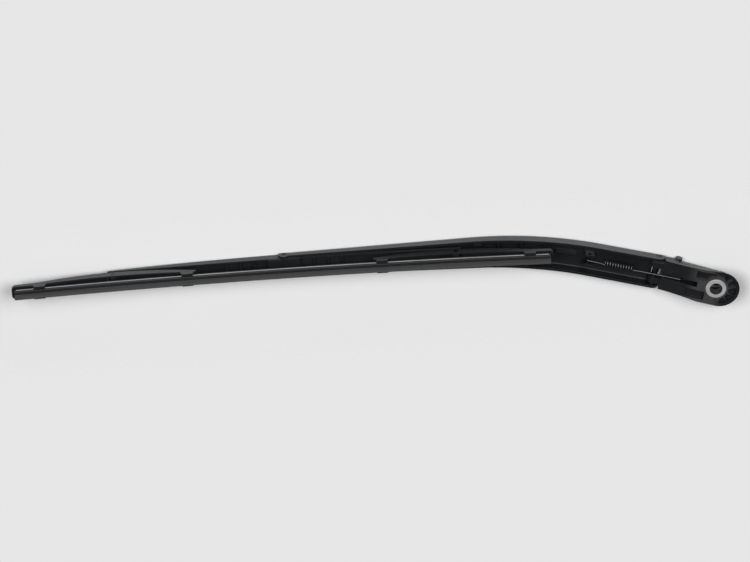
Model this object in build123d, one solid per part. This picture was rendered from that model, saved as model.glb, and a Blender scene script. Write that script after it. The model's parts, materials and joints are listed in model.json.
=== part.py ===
from build123d import *
import os
from math import acos, atan, atan2, cos, degrees, radians, sin, sqrt, tan

os.makedirs("parts", exist_ok=True)

# A rear wiper arm with its blade, lying on its back with the glass side up.
# The origin is the middle of the spindle bore's mouth and +Z runs out of that mouth.
# The blade runs along X towards -X, and the head is turned from it in plan.
# Lengths are in millimetres and angles in degrees.

# Spindle seat
bore_radius = 4.7
bush_radius = 7.8
bush_length = 8.5
bush_proud = 0.6
bush_chamfer = 0.4
bush_seat_chamfer = 0.9

# Head
head_end_radius = 14.6
head_end_offset = 3.2
head_end_inset = 4.0
head_root_inset = 0.3
head_depth = 7.4
head_wall = 2.2
pocket_depth = 3.2
boss_radius = 9.4
pocket_length = 14.8
pad_length = 12.5
crescent_ribs = 4
crescent_rib_turn = 26.0
radial_rib = 1.0
spring_slot_half = 2.2
spring_slot_end = 14.5
tongue_half = 9.0
tongue_slot_half = 4.4

# Nut cover
cover_wall = 1.4
cover_end_inset = 4.5
cover_root_inset = 1.6
cover_end_shift = 1.6
cover_steps = 3
cover_hinge_distance = 31.0
cover_knuckle_radius = 2.5
cover_stub_radius = 1.2
cover_ear_half = 13.2
cover_lug_half = 8.2
cover_lug_width = 2.4
cover_gap = 0.3

# Arm channel
arm_turn = 16.5
bend_corner_distance = 139.8
bend_radius = 317.0
arm_root_width = 25.4
arm_bend_width = 24.6
arm_tip_width = 17.4
arm_depth = 9.8
arm_tip_depth = 6.4
arm_wall = 1.8
arm_floor = 1.8
arm_corner = 3.2
arm_inner_corner = 0.9
back_level = -16.0
rib_thickness = 1.2
rib_height = 2.6
rib_spacing = 17.0
bar_distance = 115.5
bar_length = 16.0
bar_width = 2.0
bar_height = 3.4
bar_side = 1.5
rim_tab_length = 6.0
rim_tab_reach = 2.2
rim_tab_thickness = 1.6
rim_tab_distance = 181.5

# Arm hinge
hinge_distance = 46.5
hinge_pin_radius = 2.4
knuckle_radius = 4.5
ear_radius = 5.0
hinge_gap = 0.4

# Tension spring
spring_wire_radius = 0.5
spring_wire_sides = 6
coil_steps = 12
hook_steps = 6
spring_coil_radius = 2.9
spring_turns = 10
spring_pitch = 2.06
coil_start_distance = 65.0
anchor_distance = 98.0
anchor_level = -9.0
anchor_pin_radius = 1.3
anchor_cheek_half = 3.0
anchor_cheek_width = 1.8
anchor_cheek_length = 7.0
hook_distance = 28.0
hook_level = -6.2
hook_pin_radius = 1.3
hook_pin_half = 5.2

# Blade
blade_centre = -321.5
flexor_level = -0.5
blade_curve_radius = 3800.0
rubber_overhang = 19.0
rubber_inner_overhang = 15.5
rubber_half_width = 3.0
rubber_back = 1.9
rubber_flange = 1.5
rubber_ridge_half = 2.5
rubber_groove_half = 1.7
rubber_groove_floor = 0.95
rubber_neck_half = 0.9
rubber_neck_end = 2.6
rubber_shoulder_half = 2.0
rubber_shoulder_start = 3.0
rubber_shoulder_end = 3.8
lip_half = 0.45
lip_height = 9.0
flexor_inner = 1.05
flexor_outer = 3.6
flexor_thickness = 0.9
flexor_short = 1.5
flexor_gap = 0.05

# Blade pivot
pivot_level = -12.0
pivot_pin_radius = 1.8
pivot_ear_radius = 4.0
pivot_gap = 0.4
pivot_slot_length = 6.5

# Primary yoke
primary_wall = 1.5
primary_web = 1.5
primary_root_half = 7.0
primary_tip_half = 5.4
primary_bow = 1.2
primary_nest_bow = 0.2
primary_corner = 0.9
primary_nest_level = -13.6
primary_tip_level = -11.4
primary_root_depth = 6.6
primary_nest_depth = 3.4
primary_tip_depth = 2.0
primary_tip_overlap = 4.0
primary_ribs = 3
primary_rib_spacing = 10.5
primary_rib_thickness = 1.1
primary_rib_height = 2.4
tongue_tip_half = 3.6
tongue_tip_radius = 3.0
tongue_tip_length = 17.0

# Secondary yokes
claw_outer = 184.0
claw_inner = 73.0
claw_length = 8.0
claw_flare = 1.5
claw_tip = 1.5
claw_hook = 0.65
claw_hook_half = 3.2
claw_play = 0.25
yoke_half = 5.3
yoke_wall = 1.3
yoke_web = 1.4
yoke_pivot_depth = 7.5
yoke_back_middle = 10.5
yoke_back_claw = 5.0
yoke_back_end = 3.8
yoke_side_height = 5.6
yoke_inner_overhang = 6.5
yoke_end_wall = 1.4
yoke_window = 13.0
yoke_window_play = 1.0
yoke_end_radius = 3.0
yoke_pin_radius = 1.4

# Fits
press_play = 0.02
running_play = 0.06
side_play = 0.3

hinge_level = back_level + knuckle_radius
cover_hinge_level = back_level + cover_knuckle_radius
head_face = -bush_proud
head_split = head_face - head_depth
parting_distance = hinge_distance - ear_radius
blade_side = bend_corner_distance * sin(radians(arm_turn))
bend_tangent = bend_radius * tan(radians(arm_turn) / 2)
bend_start = bend_corner_distance - bend_tangent
bend_length = bend_radius * radians(arm_turn)
bend_end = bend_start + bend_length
bend_end_x = -bend_corner_distance * cos(radians(arm_turn)) - bend_tangent
arm_tip_distance = bend_end + bend_end_x - (blade_centre - pivot_ear_radius)
hub_end = 3 * pivot_ear_radius
primary_channel_reach = (claw_outer + claw_inner) / 2 + primary_tip_overlap
head_axis = Axis((0, 0, 0), (0, 0, 1))


def turned(shape):
    """Turn a piece modelled along -X into the head's direction."""
    return shape.rotate(head_axis, -arm_turn)


def rod(radius, x, level, start, end):
    """A round bar across the arm, from one side position to another."""
    place = Plane(origin=(x, start, level), x_dir=(1, 0, 0), z_dir=(0, 1, 0))
    return place * Cylinder(radius, end - start, align=(Align.CENTER, Align.CENTER, Align.MIN))


def block(x0, x1, y0, y1, z0, z1):
    """A box between two opposite corners."""
    box = Box(x1 - x0, y1 - y0, z1 - z0)
    return Pos((x0 + x1) / 2, (y0 + y1) / 2, (z0 + z1) / 2) * box


def between(start, end, share):
    """A value part of the way from start to end."""
    return start + (end - start) * share


def spine(distance):
    """Plane across the arm at a distance from the bore: local x is to the side, local y is up."""
    turn = radians(arm_turn)
    straight = min(distance, bend_start)
    x = -straight * cos(turn)
    y = straight * sin(turn)
    if distance > bend_start:
        turned_by = min(distance - bend_start, bend_length) / bend_radius
        x += bend_radius * (sin(turn - turned_by) - sin(turn))
        y += bend_radius * (cos(turn - turned_by) - cos(turn))
        turn -= turned_by
    if distance > bend_end:
        x -= distance - bend_end
    return Plane(origin=(x, y, 0), x_dir=(sin(turn), cos(turn), 0), z_dir=(cos(turn), -sin(turn), 0))


def arm_half_width(distance):
    """Half of the arm's outside width at a distance from the bore."""
    middle = (bend_start + bend_end) / 2
    if distance <= middle:
        share = (distance - parting_distance) / (middle - parting_distance)
        return between(arm_root_width, arm_bend_width, share) / 2
    share = (distance - middle) / (arm_tip_distance - middle)
    return between(arm_bend_width, arm_tip_width, share) / 2


def arm_edge(side, inset, beyond):
    """One long edge of the arm in plan, moved in by an inset and run on past both ends."""
    root = spine(parting_distance - beyond)
    tip = spine(arm_tip_distance + beyond)
    half_turn = radians(arm_turn) / 2
    bend_half = (arm_bend_width / 2 - inset) / cos(half_turn)
    middle = spine(0).z_dir * -bend_corner_distance
    corner = middle + Vector(sin(half_turn), cos(half_turn), 0) * (side * bend_half)
    root_point = root.origin + root.x_dir * (side * (arm_half_width(parting_distance - beyond) - inset))
    tip_point = tip.origin + tip.x_dir * (side * (arm_half_width(arm_tip_distance + beyond) - inset))
    return FilletPolyline(root_point, corner, tip_point, radius=bend_radius + side * bend_half)


def arm_plan(inset, beyond):
    """The arm's shape in plan."""
    upper = arm_edge(1, inset, beyond)
    lower = arm_edge(-1, inset, beyond)
    return make_face(upper + Line(upper @ 1, lower @ 1) + lower + Line(lower @ 0, upper @ 0))


def back_edges(solid):
    """The long edges round the back of an arm-shaped solid, without its two ends."""
    longer = arm_root_width + arm_wall
    return solid.edges().group_by(Axis.Z)[0].filter_by(lambda edge: edge.length > longer)


def on_spine(distance, side, shape):
    """Stand a shape on the arm's floor at a distance from the bore and an offset to the side."""
    floor = back_level + arm_floor
    flat = spine(distance)
    place = Plane(origin=flat.origin + Vector(0, 0, floor), x_dir=flat.z_dir, z_dir=(0, 0, 1))
    return place * Pos(0, side, 0) * shape


def blade_rise(offset):
    """Height of the curved blade above its middle at an offset along it."""
    return blade_curve_radius - sqrt(blade_curve_radius ** 2 - offset ** 2)


def head_outline(level, end_inset, root_inset, shift):
    """Plan outline of the head at a level, from the parting line to the round end, drawn along -X."""
    half = arm_root_width / 2 - root_inset
    radius = head_end_radius - end_inset
    centre = head_end_offset - shift
    run = parting_distance + centre
    tangent = atan2(half, -run) - acos(radius / sqrt(run ** 2 + half ** 2))
    side = (centre + radius * cos(tangent), radius * sin(tangent))
    other = (side[0], -side[1])
    root = (-parting_distance, half)
    end = ThreePointArc(side, (centre + radius, 0), other)
    return Pos(0, 0, level) * make_face(end + Polyline(other, (root[0], -half), root, side))


def spindle_bush():
    ring = Circle(bush_radius) - Circle(bore_radius)
    bush = Pos(0, 0, -bush_length) * extrude(ring, bush_length)
    for end, width in ((-1, bush_chamfer), (0, bush_seat_chamfer)):
        rims = bush.edges().filter_by(GeomType.CIRCLE).group_by(Axis.Z)[end]
        bush = chamfer(rims.sort_by(SortBy.RADIUS)[-1], width)
    return bush


def head_pockets():
    """Three pockets in the head's face, round the boss of the bush."""
    floor = head_face - pocket_depth
    hollow = head_outline(0, head_wall, head_wall, 0) - Circle(boss_radius)
    end_side = Pos(bore_radius + head_end_radius, 0) * Rectangle(2 * head_end_radius, 4 * head_end_radius)
    crescent = hollow & end_side
    for step in range(crescent_ribs):
        angle = (step - (crescent_ribs - 1) / 2) * crescent_rib_turn
        crescent -= Rot(0, 0, angle) * Pos(head_end_radius, 0) * Rectangle(head_end_radius, radial_rib)
    pocket_side = (boss_radius + head_end_radius) / 2
    pocket = Rectangle(pocket_length, head_end_radius)
    upper = hollow & (Pos(-boss_radius, pocket_side) * pocket)
    lower = hollow & (Pos(-pocket_length, -pocket_side) * pocket)
    pockets = Pos(0, 0, floor) * extrude(crescent, 2 * pocket_depth)
    pockets += Pos(0, 0, floor) * extrude(upper, 2 * pocket_depth)
    pockets += Pos(0, 0, floor) * extrude(lower, 2 * pocket_depth)
    return pockets


def hinge_block():
    """Full-depth end of the head that carries the arm hinge, with its tongue."""
    cover_clear = cover_knuckle_radius + hinge_gap
    end = -cover_hinge_distance - cover_knuckle_radius - hinge_gap
    half = arm_root_width / 2 - 2 * head_root_inset
    body = block(-parting_distance, end + cover_clear, -half, half, back_level, head_split + side_play)
    body = fillet(body.edges().filter_by(Axis.X).group_by(Axis.Z)[0], arm_corner)
    body -= rod(cover_clear, -cover_hinge_distance, cover_hinge_level, -2 * half, 2 * half)
    body -= block(-cover_hinge_distance, 0, -2 * half, 2 * half, back_level, head_split)
    tongue_top = hinge_level + knuckle_radius
    tongue_bottom = hinge_level - knuckle_radius / 2
    tongue = block(
        -hinge_distance, -parting_distance + ear_radius, -tongue_half, tongue_half, tongue_bottom, tongue_top
    )
    tongue += rod(knuckle_radius, -hinge_distance, hinge_level, -tongue_half, tongue_half)
    return body, tongue


def face_fall():
    """Wedge above the head's face, which falls from the boss's pad to the arm's rim."""
    rim = back_level + arm_depth
    start = -pad_length
    end = -parting_distance
    slope = Polyline((start, head_face), (end, rim), (2 * end, rim))
    above = Polyline((2 * end, rim), (2 * end, -head_face), (start, -head_face), (start, head_face))
    return extrude(Plane.XZ * make_face(slope + above), 2 * head_end_radius, both=True)


def lug_radius():
    """Radius of the head's lugs round the cover's stubs."""
    return cover_stub_radius + cover_wall / 2


def arm_head():
    rim = head_outline(head_face, 0, 0, 0)
    waist = head_outline(head_split, head_end_inset, head_root_inset, 0)
    top = loft([rim, waist], ruled=True)
    body, tongue = hinge_block()
    shoulders = rod(ear_radius + hinge_gap, -hinge_distance, hinge_level, -head_end_radius, head_end_radius)
    head = top + body - shoulders + tongue
    lug_top = head_split + side_play
    for side in (-1, 1):
        low, high = sorted((side * (cover_lug_half - cover_lug_width), side * cover_lug_half))
        lug = rod(lug_radius(), -cover_hinge_distance, cover_hinge_level, low, high)
        lug += block(
            -cover_hinge_distance - lug_radius(),
            -cover_hinge_distance + lug_radius(),
            low,
            high,
            cover_hinge_level,
            lug_top,
        )
        head += lug
    stub_hole = cover_stub_radius + running_play
    head -= rod(stub_hole, -cover_hinge_distance, cover_hinge_level, -head_end_radius, head_end_radius)
    head -= head_pockets()
    slot_start = -hinge_distance - knuckle_radius
    slot_floor = hook_level - hook_pin_radius - 2 * spring_wire_radius - 2 * side_play
    trough_half = spring_slot_half + head_wall
    head += block(
        -parting_distance + head_wall,
        -spring_slot_end + head_wall,
        -trough_half,
        trough_half,
        slot_floor - head_wall,
        head_split + side_play,
    )
    head -= face_fall()
    head -= block(
        slot_start, -spring_slot_end, -spring_slot_half, spring_slot_half, slot_floor, -head_face
    )
    head -= block(
        slot_start, -parting_distance, -tongue_slot_half, tongue_slot_half, 2 * back_level, -head_face
    )
    head -= rod(hook_pin_radius + press_play, -hook_distance, hook_level, -hook_pin_half, hook_pin_half)
    head -= rod(
        hinge_pin_radius + running_play, -hinge_distance, hinge_level, -head_end_radius, head_end_radius
    )
    bush_seat = Pos(0, 0, -bush_length) * extrude(Circle(bush_radius + press_play), bush_length)
    head += Pos(0, 0, head_split) * extrude(Circle(boss_radius), head_depth)
    return turned(head - bush_seat)


def cover_dome(top, bottom, inset):
    """Domed body under the head: outlines that close in evenly and faster near the back."""
    outlines = []
    for step in range(cover_steps + 1):
        close = step / cover_steps
        level = between(top, bottom, sin(radians(90) * close))
        end_inset = head_end_inset + inset + cover_end_inset * close
        root_inset = head_root_inset + inset + cover_root_inset * close
        outlines.append(head_outline(level, end_inset, root_inset, cover_end_shift * close))
    return loft(outlines, ruled=True)


def nut_cover():
    top = head_split - cover_gap
    shell = cover_dome(top, back_level, 0)
    hollow = cover_dome(top, back_level + cover_wall, cover_wall)
    end = -cover_hinge_distance
    keep = block(end, 2 * head_end_radius, -2 * head_end_radius, 2 * head_end_radius, back_level, 0)
    cover = (shell - hollow) & keep
    ear_inner = cover_lug_half + side_play
    lug_room = lug_radius() + side_play
    for side in (-1, 1):
        low, high = sorted((side * (cover_lug_half - cover_lug_width - side_play), side * ear_inner))
        cover -= rod(lug_room, end, cover_hinge_level, low, high)
    for side in (-1, 1):
        low, high = sorted((side * ear_inner, side * cover_ear_half))
        cover += rod(cover_knuckle_radius, end, cover_hinge_level, low, high)
        stub_low, stub_high = sorted((side * (cover_lug_half - cover_lug_width), side * cover_ear_half))
        cover += rod(cover_stub_radius, end, cover_hinge_level, stub_low, stub_high)
    return turned(cover)


def arm_ribs(outer):
    """Cross ribs on the arm's floor, between the spring anchor and the blade's inner end."""
    ribs = None
    distance = anchor_distance + 2 * rib_spacing
    rib_block = Box(rib_thickness, 2 * arm_root_width, 2 * rib_height)
    while distance < bend_end - rib_spacing:
        rib = on_spine(distance, 0, rib_block)
        ribs = rib if ribs is None else ribs + rib
        distance += rib_spacing
    return ribs & outer


def spring_anchor():
    """Two moulded cheeks that hold the anchor pin."""
    height = anchor_level - back_level - arm_floor + anchor_pin_radius + arm_wall / 2
    middle = anchor_cheek_half + anchor_cheek_width / 2
    cheek = Pos(0, 0, height / 2) * Box(anchor_cheek_length, anchor_cheek_width, height)
    return on_spine(anchor_distance, middle, cheek) + on_spine(anchor_distance, -middle, cheek)


def rim_tabs():
    """Two small tabs that lean in from the arm's rims over the blade's inner yoke."""
    half = arm_half_width(rim_tab_distance)
    bend_middle = (bend_start + bend_end) / 2
    fall = (rim_tab_distance - bend_middle) / (arm_tip_distance - bend_middle)
    rim = back_level + between(arm_depth, arm_tip_depth, fall)
    reach = arm_wall / 2 + rim_tab_reach
    middle = half - arm_wall / 2 - reach / 2
    tab = Box(reach, rim_tab_thickness, rim_tab_length)
    level = rim - rim_tab_thickness / 2
    place = spine(rim_tab_distance)
    return place * Pos(middle, level, 0) * tab + place * Pos(-middle, level, 0) * tab


def rim_fall():
    """Wedge above the rim, which falls from the bend to the arm's tip."""
    high = back_level + arm_depth
    low = back_level + arm_tip_depth
    start = spine((bend_start + bend_end) / 2).origin.X
    tip = blade_centre - pivot_ear_radius
    slope = Polyline((start, high), (tip, low), (2 * tip, low))
    above = Polyline((2 * tip, low), (2 * tip, -low), (start, -low), (start, high))
    return extrude(Plane.XZ * make_face(slope + above), 2 * bend_corner_distance, both=True)


def arm_channel():
    outer = Pos(0, 0, back_level) * extrude(arm_plan(0, 0), arm_depth)
    outer = fillet(back_edges(outer), arm_corner)
    hollow = Pos(0, 0, back_level + arm_floor) * extrude(arm_plan(arm_wall, ear_radius), 2 * arm_depth)
    hollow = fillet(back_edges(hollow), arm_inner_corner)
    arm = outer - hollow
    arm += arm_ribs(outer)
    arm += spring_anchor()
    arm += on_spine(bar_distance, bar_side, Box(bar_length, bar_width, 2 * bar_height)) & outer
    arm -= rim_fall()
    arm += rim_tabs()
    far = 2 * arm_root_width
    opening = tongue_half + hinge_gap
    root_cut = rod(knuckle_radius + hinge_gap, -hinge_distance, hinge_level, -opening, opening)
    root_cut += block(-hinge_distance, 0, -opening, opening, 2 * back_level, 0)
    ear_cut = block(-hinge_distance, 0, -far, far, 2 * back_level, 0)
    ear_cut -= rod(ear_radius, -hinge_distance, hinge_level, -far, far)
    arm -= turned(root_cut)
    arm -= turned(ear_cut)
    arm -= turned(rod(hinge_pin_radius + press_play, -hinge_distance, hinge_level, -far, far))
    arm -= anchor_place() * Cylinder(anchor_pin_radius + press_play, 2 * arm_cheek_outer())
    arm = arm - pivot_cut() + pivot_ears()
    return arm - pivot_rod(pivot_pin_radius + press_play, arm_tip_width)


def arm_cheek_outer():
    """Side position of the anchor cheeks' outer faces."""
    return anchor_cheek_half + anchor_cheek_width


def anchor_place():
    """Axis of the anchor pin, across the arm."""
    flat = spine(anchor_distance)
    return Plane(origin=flat.origin + Vector(0, 0, anchor_level), x_dir=(0, 0, 1), z_dir=flat.x_dir)


def tip_inner_half():
    """Half width between the arm's walls at the blade pivot."""
    return arm_tip_width / 2 - arm_wall


def pivot_cut():
    """Slot in the arm's floor at the pivot, and the round end of its walls."""
    half = tip_inner_half()
    slot = block(
        blade_centre - 2 * pivot_ear_radius,
        blade_centre + pivot_slot_length,
        blade_side - half,
        blade_side + half,
        2 * back_level,
        0,
    )
    end = block(
        blade_centre - 2 * pivot_ear_radius,
        blade_centre,
        blade_side - arm_tip_width,
        blade_side + arm_tip_width,
        2 * back_level,
        0,
    )
    end -= pivot_rod(pivot_ear_radius, arm_tip_width)
    return slot + end


def pivot_rod(radius, half):
    """A round bar on the blade pivot's axis."""
    return rod(radius, blade_centre, pivot_level, blade_side - half, blade_side + half)


def pivot_ears():
    """Raised ears on the arm's walls that hold the pivot pin."""
    half = tip_inner_half()
    outer = arm_tip_width / 2
    foot = pivot_level - pivot_ear_radius / 2
    ears = None
    for side in (-1, 1):
        low, high = sorted((blade_side + side * half, blade_side + side * outer))
        ear = rod(pivot_ear_radius, blade_centre, pivot_level, low, high)
        ear &= block(blade_centre - arm_depth, blade_centre + arm_depth, low, high, foot, 0)
        ears = ear if ears is None else ears + ear
    return ears


def hinge_pin():
    half = arm_root_width / 2 - side_play
    return turned(rod(hinge_pin_radius, -hinge_distance, hinge_level, -half, half))


def hook_pin():
    half = hook_pin_half - side_play
    return turned(rod(hook_pin_radius, -hook_distance, hook_level, -half, half))


def anchor_pin():
    return anchor_place() * Cylinder(anchor_pin_radius, 2 * arm_cheek_outer())


def pivot_pin():
    half = arm_tip_width / 2 - side_play
    return pivot_rod(pivot_pin_radius, half)


def hook_corners(end, away, pin_radius):
    """Corners of the wire's loop round a pin, from its open tail to its upper run."""
    loop = pin_radius + spring_wire_radius + running_play
    half_step = 90 / hook_steps
    reach = loop / cos(radians(half_step))
    corners = [(end - away * loop, 0, -loop)]
    for step in range(hook_steps):
        angle = radians(half_step * (2 * step + 1) - 90)
        corners.append((end + away * reach * cos(angle), 0, reach * sin(angle)))
    return corners


def tension_spring():
    length = sqrt((anchor_distance - hook_distance) ** 2 + (hook_level - anchor_level) ** 2)
    coil_end = anchor_distance - coil_start_distance
    coil_begin = coil_end - spring_turns * spring_pitch
    corners = hook_corners(0, -1, anchor_pin_radius)
    corners.append((coil_begin - spring_coil_radius, 0, corners[-1][2]))
    for step in range(spring_turns * coil_steps + 1):
        angle = radians(360) * step / coil_steps
        x = coil_begin + spring_pitch * step / coil_steps
        corners.append((x, spring_coil_radius * sin(angle), spring_coil_radius * cos(angle)))
    far_hook = hook_corners(length, 1, hook_pin_radius)
    corners.append((coil_end + spring_coil_radius, 0, far_hook[-1][2]))
    corners += reversed(far_hook)
    path = Wire(Polyline(*corners).edges())
    section = Plane(origin=path @ 0, z_dir=path % 0) * RegularPolygon(spring_wire_radius, spring_wire_sides)
    spring = sweep(section, path=path, transition=Transition.RIGHT)
    rise = Vector(anchor_distance - hook_distance, 0, hook_level - anchor_level)
    place = Plane(origin=(-anchor_distance, 0, anchor_level), x_dir=rise, z_dir=(-rise.Z, 0, rise.X))
    return turned(place * spring)


def bent_strip(face, short):
    """Sweep a blade section along the blade's curve, up to a distance from the rubber's two ends."""
    axis = Axis((blade_centre, blade_side, flexor_level + blade_curve_radius), (0, 1, 0))
    outer_angle = degrees((claw_outer + rubber_overhang - short) / blade_curve_radius)
    inner_angle = degrees((claw_outer + rubber_inner_overhang - short) / blade_curve_radius)
    middle = Plane(origin=(blade_centre, blade_side, flexor_level), x_dir=(0, 1, 0), z_dir=(1, 0, 0))
    strip = revolve(middle * face, axis=axis, revolution_arc=outer_angle + inner_angle)
    return strip.rotate(axis, -inner_angle)


def wiper_rubber():
    groove = flexor_thickness / 2 + flexor_gap
    groove_floor = flexor_inner - flexor_gap
    right = [
        (rubber_half_width, -rubber_back),
        (rubber_half_width, -groove),
        (groove_floor, -groove),
        (groove_floor, groove),
        (rubber_half_width, groove),
        (rubber_half_width, rubber_flange),
        (rubber_ridge_half, rubber_flange),
        (rubber_groove_half, rubber_groove_floor),
        (rubber_neck_half, rubber_groove_floor),
        (rubber_neck_half, rubber_neck_end),
        (rubber_shoulder_half, rubber_shoulder_start),
        (rubber_shoulder_half, rubber_shoulder_end),
        (lip_half, lip_height),
    ]
    left = [(-side, height) for side, height in reversed(right)]
    return bent_strip(make_face(Polyline(*right, *left, close=True)), 0)


def flexor(side):
    width = flexor_outer - flexor_inner
    strip = Pos(side * (flexor_inner + width / 2), 0) * Rectangle(width, flexor_thickness)
    return bent_strip(strip, flexor_short)


def yoke_chord():
    """Middle offset, middle rise and slope of the line through a secondary yoke's two claws."""
    span = claw_outer - claw_inner
    climb = blade_rise(claw_outer) - blade_rise(claw_inner)
    middle_rise = (blade_rise(claw_outer) + blade_rise(claw_inner)) / 2
    return (claw_outer + claw_inner) / 2, middle_rise, atan(climb / span)


def yoke_pin_place():
    """Offset from the blade's middle and height of the secondary yokes' pivot pins."""
    middle, rise, slope = yoke_chord()
    return middle + yoke_pivot_depth * sin(slope), flexor_level + rise - yoke_pivot_depth * cos(slope)


def primary_profile(direction, root_level, root_depth, bow, lift):
    """Side view of one half of the primary yoke from back to rim, or of its hollow when lifted."""
    reach = direction * primary_channel_reach
    middle_level = (root_level + primary_tip_level) / 2 - bow
    back = ThreePointArc(
        (0, root_level + lift), (reach / 2, middle_level + lift), (reach, primary_tip_level + lift)
    )
    rim_root = (0, root_level + root_depth + lift)
    rim_tip = (reach, primary_tip_level + primary_tip_depth + lift)
    return make_face(back + Polyline(back @ 1, rim_tip, rim_root, back @ 0))


def primary_solid(direction, root_half, profile, inset):
    """One half of the primary yoke as a solid: its plan taper and its side view together."""
    reach = direction * primary_channel_reach
    root = root_half - inset
    tip = primary_tip_half - inset
    plan = make_face(Polyline((0, root), (reach, tip), (reach, -tip), (0, -root), close=True))
    tall = extrude(plan, -3 * back_level, both=True)
    solid = tall & extrude(Plane.XZ * profile, 2 * root_half, both=True)
    return Pos(blade_centre, blade_side, 0) * solid


def primary_half(direction, root_half, root_level, root_depth, bow):
    """One arm of the primary yoke, an open channel that thins towards its tip."""
    side = primary_profile(direction, root_level, root_depth, bow, 0)
    outer = primary_solid(direction, root_half, side, 0)
    back = outer.faces().sort_by(Axis.Z)[0]
    long_edges = back.edges().filter_by(lambda edge: edge.length > primary_channel_reach / 2)
    outer = chamfer(long_edges, primary_corner)
    hollow_side = primary_profile(direction, root_level, 3 * root_depth, bow, primary_web)
    channel = outer - primary_solid(direction, root_half, hollow_side, primary_wall)
    rib_side = primary_profile(direction, root_level, primary_web + primary_rib_height, bow, 0)
    rib_stock = primary_solid(direction, root_half, rib_side, primary_wall / 2)
    for step in range(primary_ribs):
        x = blade_centre + direction * (hub_end + (step + 1) * primary_rib_spacing)
        half = primary_rib_thickness / 2
        channel += rib_stock & block(
            x - half, x + half, blade_side - root_half, blade_side + root_half, 2 * back_level, 0
        )
    return channel


def primary_tongue(direction):
    """Neck at the primary yoke's tip that reaches down to a secondary yoke's pin."""
    offset, pin = yoke_pin_place()
    x = blade_centre + direction * offset
    bar_start = x - direction * tongue_tip_length
    low, high = sorted((bar_start, x))
    low_neck, high_neck = sorted((x - direction * tongue_tip_length / 2, x))
    top = primary_tip_level + primary_tip_depth
    sides = (blade_side - tongue_tip_half, blade_side + tongue_tip_half)
    tongue = block(low, high, *sides, primary_tip_level, top)
    circle = Pos(x, pin) * Circle(tongue_tip_radius)
    foot_level = primary_tip_level + primary_tip_depth / 2
    foot = Pos((low_neck + high_neck) / 2, foot_level) * Rectangle(high_neck - low_neck, primary_tip_depth)
    neck = extrude(Plane.XZ * make_hull(circle.edges() + foot.edges()), tongue_tip_half, both=True)
    tongue += Pos(0, blade_side, 0) * neck
    return tongue - rod(yoke_pin_radius + running_play, x, pin, *sides)


def primary_yoke():
    hub_half = tip_inner_half() - side_play
    left = primary_half(-1, primary_root_half, back_level, primary_root_depth, primary_bow)
    hub_top = pivot_level + pivot_ear_radius - pivot_gap
    root_half = primary_root_half - primary_wall / 2
    left += block(
        blade_centre - hub_end,
        blade_centre,
        blade_side - root_half,
        blade_side + root_half,
        back_level + primary_web / 2,
        hub_top,
    )
    left -= pivot_rod(pivot_ear_radius + pivot_gap, 2 * arm_tip_width)
    left -= block(
        blade_centre - pivot_ear_radius,
        blade_centre,
        blade_side - primary_root_half,
        blade_side + primary_root_half,
        2 * back_level,
        0,
    )
    right = primary_half(1, hub_half, primary_nest_level, primary_nest_depth, primary_nest_bow)
    hub = block(
        blade_centre - hub_end,
        blade_centre + hub_end,
        blade_side - hub_half,
        blade_side + hub_half,
        primary_nest_level,
        hub_top,
    )
    yoke = left + right + hub + primary_tongue(-1) + primary_tongue(1)
    return yoke - pivot_rod(pivot_pin_radius + running_play, arm_tip_width)


def claw(x):
    """A pair of hooked legs round the rubber's backing and both flexors."""
    flexor_half = flexor_thickness / 2
    root = -rubber_back - claw_play - yoke_web / 2
    profile = make_face(
        Polyline(
            (x - claw_length / 2 - claw_flare, root),
            (x + claw_length / 2 + claw_flare, root),
            (x + claw_length / 2, claw_tip),
            (x - claw_length / 2, claw_tip),
            close=True,
        )
    )
    legs = extrude(Plane.XZ * profile, yoke_half, both=True)
    low = x - claw_length
    high = x + claw_length
    seat = rubber_half_width + claw_play
    strip = flexor_outer + claw_play
    legs -= block(low, high, -seat, seat, -rubber_back - claw_play, claw_hook)
    legs -= block(low, high, -strip, strip, -flexor_half - claw_play, claw_hook)
    legs -= block(low, high, -claw_hook_half, claw_hook_half, claw_hook, 2 * claw_tip)
    return legs


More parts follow.
